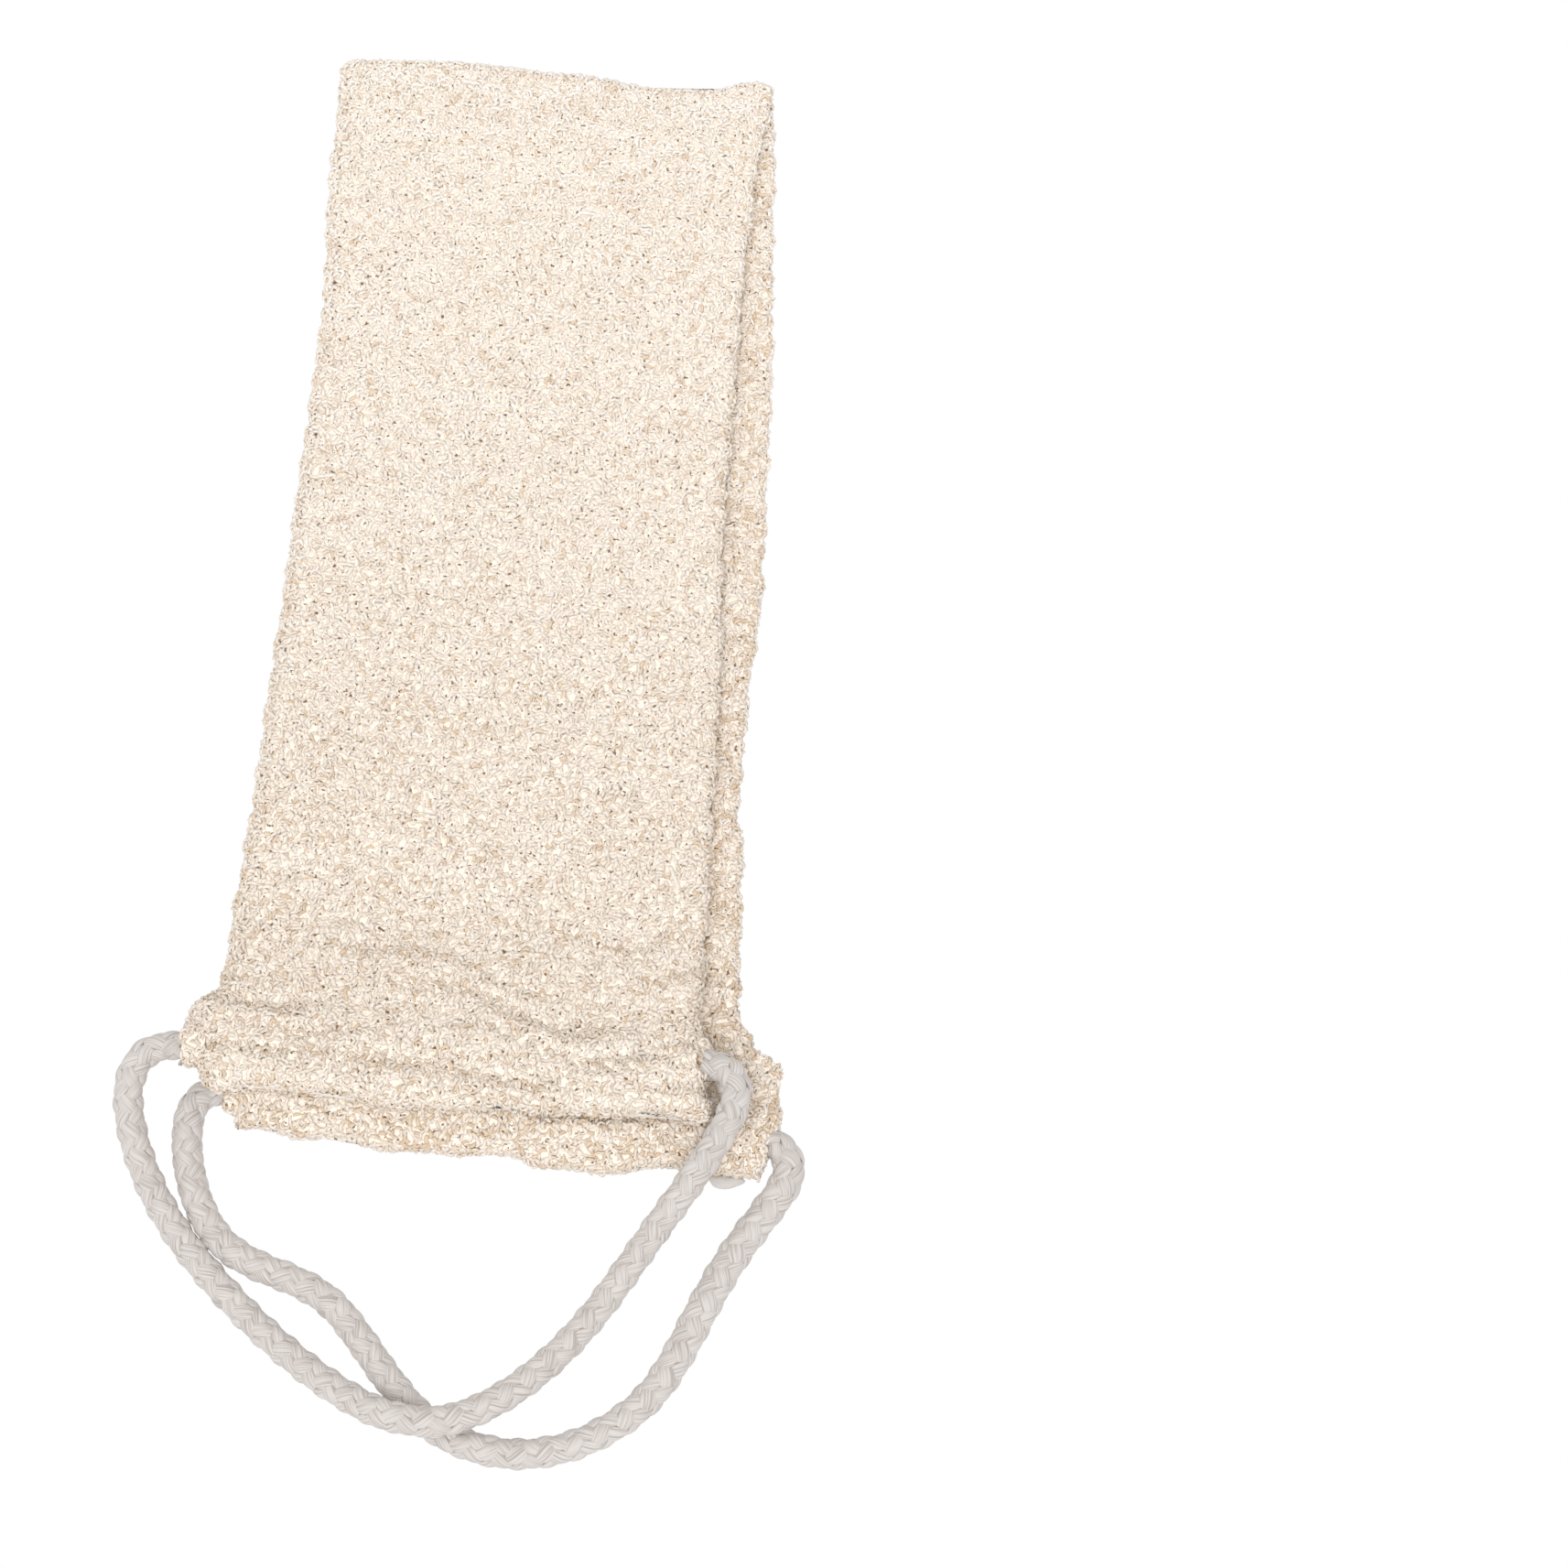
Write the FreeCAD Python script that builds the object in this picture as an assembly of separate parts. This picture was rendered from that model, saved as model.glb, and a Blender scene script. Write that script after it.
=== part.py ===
import FreeCAD, Part
import math
import os

# Back scrubber strap: a long two-ply strip of looped-pile knit, folded in half, with a rope
# handle at each end.  The strip lies flat with its fold line along X at the +Y end, and the
# two hems with their rope handles at the -Y end.  The lower half rests on z = 0 and the upper
# half lies on it.  Millimetres; the origin is under the middle of the knit strap.

Vector = FreeCAD.Vector

# ---- the knit strip ----
STRAP_WIDTH = 119.0           # across the strip, over both edge seams
PLY = 3.0                     # one ply of looped knit, pile included
SEAM_WIDTH = PLY              # each edge seam is a half-round roll over both plies
HALF_THICKNESS = 2.0 * PLY
HALF_GAP = 0.3                # air between the two halves

# ---- the fold ----
FOLD_Y = 151.7                # where the flat halves end and the bend starts
FOLD_X = -4.2                 # middle of the strip at the fold
FOLD_INNER_RADIUS = HALF_GAP / 2.0
FOLD_MIDDLE_Z = HALF_THICKNESS + HALF_GAP / 2.0

# ---- the hems ----
YOKE_START_Y = -112.0         # where the plies run into the turned hem
SLEEVE_RADIUS = 5.1           # outside of the rope tunnel
BORE_RADIUS = 4.1             # inside of the rope tunnel
STITCH_LENGTH = 2.6
STITCH_WIDTH = 0.7
STITCH_HEIGHT = 0.4
STITCH_PITCH = 4.0
STITCH_FROM_SLEEVE = 1.3      # gap from the tunnel to the row of stitches
STITCH_END_MARGIN = 6.0       # no stitches this close to a tunnel mouth

# ---- the rope ----
ROPE_DIAMETER = 7.0
ROPE_RADIUS = ROPE_DIAMETER / 2.0
WHIPPING_RADIUS = 3.9         # thread wound round the joined rope ends
WHIPPING_LENGTH = 16.0
ARC_SHARE = 0.45              # part of the shorter run that each bend may use

LOWER = {
    "name": "lower",
    "bottom_z": 0.0,
    "lean_deg": 1.2,          # sideways lean towards +X on the way to the hem
    "face_ply_first": True,   # the outer face ply is the bottom one
    "left_mouth": (-62.5, -142.34),   # ends of the tunnel's axis
    "right_mouth": (66.5, -147.5),
    "sleeve_z": SLEEVE_RADIUS,
    "sleeve_bag": 4.6,        # how far the tunnel hangs past the rope
    "left_ear": (-66.5, -127.0, -133.5),    # widest X of the hem, and the Y where it starts
    "right_ear": (73.2, -128.0, -139.0),    # and ends
    "whipping_at": 82.5,      # from the left mouth
}

UPPER = {
    "name": "upper",
    "bottom_z": HALF_THICKNESS + HALF_GAP,
    "lean_deg": -0.5,
    "face_ply_first": False,
    "left_mouth": (-72.4, -133.6),
    "right_mouth": (52.6, -132.1),
    "sleeve_z": 14.9,
    "sleeve_bag": 5.0,
    "left_ear": (-73.2, -120.5, -127.5),
    "right_ear": (57.0, -120.5, -127.0),
    "whipping_at": 48.4,
}

# Rope handles, from the left mouth of the tunnel round to the right one.  The upper rope
# comes down to the floor, rises over the lower rope where they cross and climbs over the
# corner of the lower hem.
UPPER_ROPE_POINTS = [
    (-72.4, -133.6, 14.9),
    (-76.4, -133.648, 14.9),
    (-81.4, -135.0, 14.6),
    (-84.9, -138.8, 13.4),
    (-86.4, -145.6, 11.4),
    (-83.9, -156.6, 8.2),
    (-78.2, -168.4, 5.6),
    (-70.2, -179.4, 4.2),
    (-60.4, -189.4, 3.6),
    (-49.5, -199.0, 3.6),
    (-38.0, -207.6, 4.2),
    (-27.0, -214.4, 6.2),
    (-15.0, -220.0, 11.0),
    (-1.5, -220.8, 11.0),
    (11.0, -214.0, 6.6),
    (22.0, -204.0, 4.0),
    (31.5, -192.4, 3.8),
    (39.2, -180.8, 6.2),
    (46.6, -170.2, 11.2),
    (53.6, -160.6, 15.4),
    (58.8, -151.6, 16.8),
    (62.4, -143.9, 16.8),
    (63.0, -138.4, 16.2),
    (60.8, -133.6, 15.3),
    (56.6, -132.052, 14.9),
    (52.6, -132.1, 14.9),
]

LOWER_ROPE_POINTS = [
    (-62.5, -142.34, 5.1),
    (-66.5, -142.18, 5.1),
    (-70.2, -144.2, 4.9),
    (-72.0, -148.6, 4.6),
    (-71.9, -154.8, 4.2),
    (-70.5, -162.0, 3.9),
    (-66.8, -171.5, 3.6),
    (-60.5, -179.8, 3.5),
    (-51.5, -184.6, 3.5),
    (-41.5, -187.6, 3.5),
    (-32.5, -192.0, 3.5),
    (-25.0, -200.0, 3.5),
    (-16.5, -210.5, 3.5),
    (-8.0, -219.0, 3.5),
    (1.5, -224.2, 3.5),
    (14.0, -226.6, 3.5),
    (27.0, -224.4, 3.5),
    (38.0, -218.6, 3.5),
    (46.5, -211.0, 3.5),
    (52.5, -200.5, 3.5),
    (58.0, -187.8, 3.5),
    (64.0, -176.2, 3.6),
    (70.6, -166.6, 3.9),
    (76.0, -158.6, 4.3),
    (76.6, -153.6, 4.6),
    (74.6, -149.8, 4.9),
    (70.5, -147.66, 5.1),
    (66.5, -147.5, 5.1),
]


def export(shape, node):
    """Write one sub-part and say how big it is."""
    shape.exportStep("parts/" + node + ".step")
    print(node, "solids", len(shape.Solids), "volume", round(shape.Volume, 1),
          "valid", shape.isValid())


def half_centre_x(half, y):
    """Middle of a half's strip at y: the strip leans from the fold to the hem."""
    return FOLD_X + (FOLD_Y - y) * math.tan(math.radians(half["lean_deg"]))


def prism(outline, z_low, height):
    """Solid of the outline's (x, y) points between two heights."""
    points = [Vector(x, y, z_low) for x, y in outline]
    face = Part.Face(Part.makePolygon(points + points[:1]))
    return face.extrude(Vector(0, 0, height))


def ply(half, layer):
    """One flat ply between the two edge seams, from the fold to the hem."""
    reach = STRAP_WIDTH / 2.0 - SEAM_WIDTH
    top_x = half_centre_x(half, FOLD_Y)
    hem_x = half_centre_x(half, YOKE_START_Y)
    outline = [(top_x - reach, FOLD_Y), (hem_x - reach, YOKE_START_Y),
               (hem_x + reach, YOKE_START_Y), (top_x + reach, FOLD_Y)]
    return prism(outline, half["bottom_z"] + layer * PLY, PLY)


def edge_seam(half, side):
    """Half-round roll along one long edge; side is -1 at the left and +1 at the right."""
    inner_x = half_centre_x(half, FOLD_Y) + side * (STRAP_WIDTH / 2.0 - SEAM_WIDTH)
    low = Vector(inner_x, FOLD_Y, half["bottom_z"])
    middle = low + Vector(side * SEAM_WIDTH, 0, HALF_THICKNESS / 2.0)
    high = low + Vector(0, 0, HALF_THICKNESS)
    profile = Part.Face(Part.Wire([Part.Arc(low, middle, high).toShape(),
                                   Part.LineSegment(high, low).toShape()]))
    run_x = half_centre_x(half, YOKE_START_Y) - half_centre_x(half, FOLD_Y)
    return profile.extrude(Vector(run_x, YOKE_START_Y - FOLD_Y, 0))


def fold_ply(inner_radius):
    """One ply where it bends round the fold line, across the whole width."""
    start_x = FOLD_X - STRAP_WIDTH / 2.0
    outline = []
    for radius, direction in ((inner_radius, 1.0), (inner_radius + PLY, -1.0)):
        low = Vector(start_x, FOLD_Y, FOLD_MIDDLE_Z - direction * radius)
        far = Vector(start_x, FOLD_Y + radius, FOLD_MIDDLE_Z)
        high = Vector(start_x, FOLD_Y, FOLD_MIDDLE_Z + direction * radius)
        outline.append(Part.Arc(low, far, high).toShape())
        outer_z = FOLD_MIDDLE_Z + direction * (inner_radius + PLY)
        inner_z = FOLD_MIDDLE_Z + direction * inner_radius
        outline.append(Part.LineSegment(Vector(start_x, FOLD_Y, inner_z),
                                        Vector(start_x, FOLD_Y, outer_z)).toShape())
    profile = Part.Face(Part.Wire(Part.__sortEdges__(outline)))
    return profile.extrude(Vector(STRAP_WIDTH, 0, 0))


def tunnel_length(half):
    return math.dist(half["left_mouth"], half["right_mouth"])


def tunnel_place(half):
    """The tunnel's own axes: the origin at its left mouth on the floor, X along it."""
    left_x, left_y = half["left_mouth"]
    right_x, right_y = half["right_mouth"]
    turn = math.degrees(math.atan2(right_y - left_y, right_x - left_x))
    return FreeCAD.Placement(Vector(left_x, left_y, 0.0),
                             FreeCAD.Rotation(Vector(0, 0, 1), turn))


def hem_tunnel(half):
    """Turned end of the strip: the flared yoke and the baggy tunnel for the rope."""
    place = tunnel_place(half)
    length = tunnel_length(half)
    axis_z = half["sleeve_z"]
    bag = half["sleeve_bag"]
    roll_ends = [place.multVec(Vector(x, y, 0.0)) for x, y in
                 ((0.0, SLEEVE_RADIUS), (0.0, 0.0), (length, 0.0), (length, SLEEVE_RADIUS))]
    left_ear, left_high, left_low = half["left_ear"]
    right_ear, right_high, right_low = half["right_ear"]
    reach = STRAP_WIDTH / 2.0
    yoke_x = half_centre_x(half, YOKE_START_Y)
    outline = [(yoke_x - reach, YOKE_START_Y), (left_ear, left_high), (left_ear, left_low)]
    outline += [(point.x, point.y) for point in roll_ends]
    outline += [(right_ear, right_low), (right_ear, right_high), (yoke_x + reach, YOKE_START_Y)]
    yoke = prism(outline, half["bottom_z"], HALF_THICKNESS)
    along = Vector(1, 0, 0)
    near_roll = Part.makeCylinder(SLEEVE_RADIUS, length, Vector(0, 0, axis_z), along)
    far_roll = Part.makeCylinder(SLEEVE_RADIUS, length, Vector(0, -bag, axis_z), along)
    flat = Part.makeBox(length, bag, 2.0 * SLEEVE_RADIUS, Vector(0, -bag, axis_z - SLEEVE_RADIUS))
    bore = Part.makeCylinder(BORE_RADIUS, length, Vector(0, 0, axis_z), along)
    sleeve = near_roll.fuse([far_roll, flat]).removeSplitter()
    sleeve.Placement = place
    bore.Placement = place
    return yoke.fuse(sleeve).cut(bore).removeSplitter()


def hem_stitching(half):
    """Row of thread stitches on the knit just above the tunnel."""
    row_y = SLEEVE_RADIUS + STITCH_FROM_SLEEVE
    top_z = half["bottom_z"] + HALF_THICKNESS
    count = int((tunnel_length(half) - 2.0 * STITCH_END_MARGIN) // STITCH_PITCH)
    stitches = []
    for index in range(count):
        x = STITCH_END_MARGIN + index * STITCH_PITCH
        stitches.append(Part.makeBox(STITCH_LENGTH, STITCH_WIDTH, STITCH_HEIGHT,
                                     Vector(x, row_y, top_z)))
    row = Part.makeCompound(stitches)
    row.Placement = tunnel_place(half)
    return row


def rope_in_hem(half):
    """The straight run of rope inside the tunnel."""
    rope = Part.makeCylinder(ROPE_RADIUS, tunnel_length(half), Vector(0, 0, half["sleeve_z"]),
                             Vector(1, 0, 0))
    rope.Placement = tunnel_place(half)
    return rope


def rope_whipping(half):
    """Thread wound round the place where the two rope ends meet."""
    start = Vector(half["whipping_at"] - WHIPPING_LENGTH / 2.0, 0.0, half["sleeve_z"])
    outside = Part.makeCylinder(WHIPPING_RADIUS, WHIPPING_LENGTH, start, Vector(1, 0, 0))
    inside = Part.makeCylinder(ROPE_RADIUS, WHIPPING_LENGTH, start, Vector(1, 0, 0))
    thread = outside.cut(inside)
    thread.Placement = tunnel_place(half)
    return thread


def rounded_route(points):
    """Straight runs joined by tangent arcs, as one wire, with the radius of each arc."""
    corners = [Vector(*point) for point in points]
    edges = []
    radii = []
    here = corners[0]
    for before, corner, after in zip(corners, corners[1:], corners[2:]):
        back = before - corner
        ahead = after - corner
        tangent = ARC_SHARE * min(back.Length, ahead.Length)
        turn = math.pi - back.getAngle(ahead)
        radius = tangent / math.tan(turn / 2.0)
        back.normalize()
        ahead.normalize()
        enter = corner + back * tangent
        leave = corner + ahead * tangent
        bisector = (back + ahead).normalize()
        depth = radius / math.cos(turn / 2.0) - radius
        edges.append(Part.LineSegment(here, enter).toShape())
        edges.append(Part.Arc(enter, corner + bisector * depth, leave).toShape())
        radii.append(radius)
        here = leave
    edges.append(Part.LineSegment(here, corners[-1]).toShape())
    return Part.Wire(edges), radii


def handle_rope(points, name):
    """The free loop of rope, from one mouth of the tunnel to the other."""
    route, radii = rounded_route(points)
    start = Vector(*points[0])
    direction = Vector(*points[1]) - start
    circle = Part.Wire(Part.makeCircle(ROPE_RADIUS, start, direction))
    tube = route.makePipeShell([circle], True, False)
    section = math.pi * ROPE_RADIUS ** 2
    print(name, "length", round(route.Length, 1), "volume / (section x length)",
          round(tube.Volume / (section * route.Length), 4))
    print(name, "radii", [round(radius, 1) for radius in radii])
    return tube


def main():
    os.makedirs("parts", exist_ok=True)
    export(fold_ply(FOLD_INNER_RADIUS), "fold_back_ply")
    export(fold_ply(FOLD_INNER_RADIUS + PLY), "fold_face_ply")
    for half in (LOWER, UPPER):
        name = half["name"]
        face_layer = 0 if half["face_ply_first"] else 1
        export(ply(half, face_layer), name + "_face_ply")
        export(ply(half, 1 - face_layer), name + "_back_ply")
        export(edge_seam(half, -1.0), name + "_left_edge_seam")
        export(edge_seam(half, 1.0), name + "_right_edge_seam")
        export(hem_tunnel(half), name + "_hem_tunnel")
        export(hem_stitching(half), name + "_hem_stitching")
        export(rope_in_hem(half), name + "_handle_rope_in_hem")
        export(rope_whipping(half), name + "_handle_rope_whipping")
    export(handle_rope(LOWER_ROPE_POINTS, "lower rope"), "lower_handle_rope")
    export(handle_rope(UPPER_ROPE_POINTS, "upper rope"), "upper_handle_rope")


main()
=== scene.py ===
"""Looks of the loofah back scrubber: a folded strap of looped-pile knit with two rope handles."""

import math

import bpy
import numpy as np
from mathutils import Matrix, Vector


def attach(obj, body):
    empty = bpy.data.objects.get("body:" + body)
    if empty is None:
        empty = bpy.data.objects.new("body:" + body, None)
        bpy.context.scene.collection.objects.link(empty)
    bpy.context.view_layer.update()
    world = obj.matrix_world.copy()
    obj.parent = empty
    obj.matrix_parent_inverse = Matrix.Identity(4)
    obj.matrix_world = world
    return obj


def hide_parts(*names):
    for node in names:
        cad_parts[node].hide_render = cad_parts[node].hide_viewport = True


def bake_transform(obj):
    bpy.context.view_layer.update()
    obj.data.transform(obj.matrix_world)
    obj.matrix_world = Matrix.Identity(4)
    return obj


MM = 0.001

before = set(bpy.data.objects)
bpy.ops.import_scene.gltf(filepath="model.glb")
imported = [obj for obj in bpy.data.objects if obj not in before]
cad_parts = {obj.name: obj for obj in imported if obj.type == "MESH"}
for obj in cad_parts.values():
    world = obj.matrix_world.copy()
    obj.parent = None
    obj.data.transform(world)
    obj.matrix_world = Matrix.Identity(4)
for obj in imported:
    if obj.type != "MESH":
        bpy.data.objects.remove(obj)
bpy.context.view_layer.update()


# ---------------------------------------------------------------- camera and light

AIM = Vector((70.2, -52.6, 0.0)) * MM
DISTANCE = 712.5 * MM
CAMERA_TILT = math.radians(20.5)
CAMERA_TURN = math.radians(2.8)
LENS = 63.05
SENSOR = 36.0
NEAR = 0.01
FAR = 20.0

WHITE = (1.0, 1.0, 1.0)
FLOOR_HALF = 12.0            # metres from the middle of the table to its sides
FLOOR_DROP = 0.3 * MM
ROOM_COLOUR = (1.0, 0.995, 0.985)
ROOM_STRENGTH = 0.89
KEY_DIRECTION = (-0.05, -0.7, 1.4)
KEY_DISTANCE = 1.8
KEY_SIZE = 1.1
KEY_POWER = 15.0


def add_camera():
    """The camera looks down on the strap from the handle side."""
    turn = Matrix.Rotation(CAMERA_TURN, 4, "Z") @ Matrix.Rotation(CAMERA_TILT, 4, "X")
    data = bpy.data.cameras.new("camera")
    data.lens = LENS
    data.sensor_width = SENSOR
    data.clip_start = NEAR
    data.clip_end = FAR
    camera = bpy.data.objects.new("camera", data)
    camera.matrix_world = Matrix.Translation(AIM) @ turn @ Matrix.Translation((0, 0, DISTANCE))
    bpy.context.scene.collection.objects.link(camera)
    bpy.context.scene.camera = camera


def add_key_light():
    """A square soft light, aimed at the strap from above the handles."""
    data = bpy.data.lights.new("key", "AREA")
    data.size = KEY_SIZE
    data.energy = KEY_POWER
    light = bpy.data.objects.new("key", data)
    away = Vector(KEY_DIRECTION).normalized()
    light.location = AIM + away * KEY_DISTANCE
    light.rotation_euler = away.to_track_quat("Z", "Y").to_euler()
    bpy.context.scene.collection.objects.link(light)


def emission_material(name, colour, strength):
    """A surface that glows evenly, so that no shadow falls on it."""
    material = bpy.data.materials.new(name)
    material.use_nodes = True
    nodes = material.node_tree.nodes
    nodes.clear()
    emission = nodes.new("ShaderNodeEmission")
    emission.inputs["Color"].default_value = (*colour, 1.0)
    emission.inputs["Strength"].default_value = strength
    output = nodes.new("ShaderNodeOutputMaterial")
    material.node_tree.links.new(emission.outputs[0], output.inputs["Surface"])
    return material


def add_stage():
    """A white table that shows no shadow, a soft white room and one lamp."""
    half = FLOOR_HALF
    corners = [(-half, -half, 0), (half, -half, 0), (half, half, 0), (-half, half, 0)]
    mesh = bpy.data.meshes.new("floor")
    mesh.from_pydata(corners, [], [(0, 1, 2, 3)])
    mesh.materials.append(emission_material("white_table", WHITE, 1.0))
    floor = bpy.data.objects.new("floor", mesh)
    floor.location.z = -FLOOR_DROP
    bpy.context.scene.collection.objects.link(floor)

    world = bpy.data.worlds.new("room")
    bpy.context.scene.world = world
    world.use_nodes = True
    background = world.node_tree.nodes["Background"]
    background.inputs["Color"].default_value = (*ROOM_COLOUR, 1.0)
    background.inputs["Strength"].default_value = ROOM_STRENGTH
    bpy.context.scene.view_settings.view_transform = "Standard"
    add_key_light()


# ---------------------------------------------------------------- curves and grids

def eased(points, value):
    """A smooth curve through given (place, value) points, read at each value."""
    places = np.array([p[0] for p in points], float)
    heights = np.array([p[1] for p in points], float)
    value = np.clip(value, places[0], places[-1])
    low = np.clip(np.searchsorted(places, value) - 1, 0, len(places) - 2)
    t = (value - places[low]) / (places[low + 1] - places[low])
    t = t * t * (3 - 2 * t)
    return heights[low] + t * (heights[low + 1] - heights[low])


def ramp(start, end, value):
    """0 before start, 1 after end, smooth between."""
    t = np.clip((value - start) / (end - start), 0, 1)
    return t * t * (3 - 2 * t)


def unit(vectors):
    """The same directions, each with a length of one."""
    length = np.linalg.norm(vectors, axis=-1, keepdims=True)
    return vectors / np.maximum(length, 1e-9)


def grid_quads(rows, columns, wrap):
    """The faces of a grid of points. wrap joins the end of each row to its start."""
    across = columns if wrap else columns - 1
    row, column = np.meshgrid(np.arange(rows - 1), np.arange(across), indexing="ij")
    after = (column + 1) % columns
    corners = [
        row * columns + column,
        (row + 1) * columns + column,
        (row + 1) * columns + after,
        row * columns + after,
    ]
    return np.stack(corners, axis=-1).reshape(-1, 4)


def new_object(name, mesh, material):
    """A smooth-shaded object of the mesh, in the scene."""
    mesh.materials.append(material)
    mesh.polygons.foreach_set("use_smooth", np.ones(len(mesh.polygons), bool))
    mesh.update()
    piece = bpy.data.objects.new(name, mesh)
    bpy.context.scene.collection.objects.link(piece)
    return piece


def quad_mesh(name, points, quads, material, attributes):
    """A mesh of quads, points in mm. Each attribute is a number or a vector for each point."""
    mesh = bpy.data.meshes.new(name)
    mesh.vertices.add(len(points))
    mesh.vertices.foreach_set("co", (points * MM).astype(np.float32).ravel())
    mesh.loops.add(quads.size)
    mesh.loops.foreach_set("vertex_index", quads.astype(np.int32).ravel())
    mesh.polygons.add(len(quads))
    mesh.polygons.foreach_set("loop_start", np.arange(0, quads.size, 4, dtype=np.int32))
    mesh.update(calc_edges=True)
    for key, values in attributes.items():
        kind = "FLOAT" if values.ndim == 1 else "FLOAT_VECTOR"
        field = "value" if values.ndim == 1 else "vector"
        attribute = mesh.attributes.new(key, kind, "POINT")
        attribute.data.foreach_set(field, values.astype(np.float32).ravel())
    return new_object(name, mesh, material)


# ---------------------------------------------------------------- the strap's shape, in mm

PILE = 0.8            # how far the ground of the knit lies under the strap's outside
FOLD_Y = 151.7        # where the flat halves turn into the fold
FOLD_Z = 6.15         # height of the fold's middle
FOLD_TAIL_Y = 143.5   # the fold's outer layer reaches this far along both halves
TAIL_SINK = 0.6       # and its ends are tucked this far into them
TUCK_Y = 147.5        # from here on the halves run inside the fold
FOLD_INSIDE = 4.3     # inner radius of the fold's outer layer
TIP_ANGLES = (75, 68, 58, 46, 32, 16, 0)   # rows of the hidden tip round the fold, in degrees
FLAT_START = FOLD_Y - 2.0                   # where the even rows of each half begin
TAIL_ROWS = 6
BEND_ROWS = 19

ROW_STEP = 1.3           # between rows of the cloth's mesh
FACE_STEPS = 60          # columns across each face of the cloth
ARC_STEPS = 6            # and round each side edge
UNDER_EDGE_POWER = 0.35  # below 1 the underside runs further out before it turns up
HEM_END_ROWS = 10
UNDER_HEM_POWER = 0.6    # the same for the underside of a hem's end
LEAST_THICKNESS = 0.3

CREASE_HEIGHT = 0.75     # half the height of the creases beside the upper hem
COLLAR_RADIUS = 4.3      # the collar of cloth round the rope at each mouth of a hem
COLLAR_THICKNESS = 0.6
COLLAR_LENGTH = 2.9
COLLAR_SET_BACK = 2.6
COLLAR_STEPS = 32
COLLAR_SIDES = 16

SEAM_WIDTH = 1.3
SEAM_DEPTH = 1.3
DEEPEST = 0.55           # the rope inside the hem lets no crease go deeper than this
SWELL_HEIGHT = 0.30      # the slow rise and fall of the upper face
FLAT_Y = (143.0, 120.0)  # that swell grows from none to full between these
DIP_Y = (70.0, 152.0)    # and the fold line's dip between these
END_REACH = (26.0, 4.0)  # the shift of a hem's end line grows between these distances from it

# Where the stitching of the upper hem runs: (x, y)
SEAM_LINE = [(-73, -134), (-25, -135), (0, -139), (15, -141), (30, -134), (45, -129), (57, -129)]

# Dip of the fold line along the strap's width: (x, y)
FOLD_DIP = [(-66, -1), (-60, 0.5), (-33, 1), (0, -1.5), (25, -5), (38, -5), (53, -1.5), (59, -3.5)]

# Each half: its sides as (y, x), its faces as (y, height), the mouths of its hem as (x, y, z), the
# middle of its hem's rounded end as (y, height, radius), how far its underside sinks, and how far
# its end line lies from straight as (x, y).
UPPER = {
    "left": [(-150, -64), (-143, -68), (-137, -72), (-133, -73.5), (-126, -74.5), (-115, -67),
             (-45, -65), (0, -64), (75, -63), (120, -65.5), (158, -65.5)],
    "right": [(-150, 57), (-141, 57.5), (-135, 56), (-126, 57.5), (-122, 53), (-30, 52.5),
              (10, 51), (95, 52), (120, 53.5), (158, 57)],
    "top": [(-136, 20.2), (-129, 19.8), (-119, 16.4), (-97, 12.3), (158, 12.3)],
    "bottom": [(-138, 8.7), (-126, 7.6), (-112, 6.3), (158, 6.3)],
    "mouths": [(-72.4, -133.6, 14.9), (52.6, -132.1, 14.9)],
    "end": (-138.3, 14.8, 5.1),
    "sag": 1.0,
    "end_shift": [(-70, 1), (-62, -1), (-50, -0.5), (-36, -1.5), (-18, -3.5), (11, -3), (40, -2.5),
                  (56, -3.5)],
}
LOWER = {
    "left": [(-158, -57), (-152, -61.5), (-147, -64.5), (-139, -66.5), (-128, -64),
             (-112, -58.5), (0, -60.5), (158, -64)],
    "right": [(-158, 69.5), (-150, 71), (-140, 74), (-129, 73.5), (-124, 66), (-114, 62),
              (-75, 61), (-60, 59), (-30, 60), (0, 62), (55, 61.5), (130, 59), (158, 57)],
    "top": [(-150, 10.8), (-146, 11.8), (-141, 9.8), (-135, 7.0), (-128, 6.0), (158, 6.0)],
    "bottom": [(-158, 0.0), (158, 0.0)],
    "mouths": [(-62.5, -142.34, 5.1), (66.5, -147.5, 5.1)],
    "end": (-150.0, 5.1, 5.1),
    "sag": 0.0,
    "end_shift": [(-66, 6.5), (-58, 4), (-43, 2), (-15, 0), (10, -0.5), (14, -2), (29, -3), (49, -1.5),
                  (66, -2.5)],
}


# The cloth's waves are sums of a few sines, whose lengths are in mm.

def crease_wave(x, y):
    """The soft creases beside the upper hem, from -1 in a valley to 1 on a ridge."""
    wander = 2.2 * np.sin(x / 15.0) + 1.2 * np.sin(x / 5.3 + y / 6.0)
    depth = 0.5 + 0.5 * np.sin(x / 11.0 + y / 5.0)
    place = ramp(-90.0, -106.0, y) * ramp(-146.0, -134.0, y)
    return np.sin((y + 0.12 * x) / 1.25 + wander) * depth * place


def seam_groove(x, y):
    """The pulled-in line of stitching that closes the upper hem, 1 on the line and 0 beside it."""
    strength = 0.65 + 0.35 * np.sin(x / 9.0 + 1.0)
    return strength * np.exp(-((y - eased(SEAM_LINE, x)) / SEAM_WIDTH) ** 2)


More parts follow.
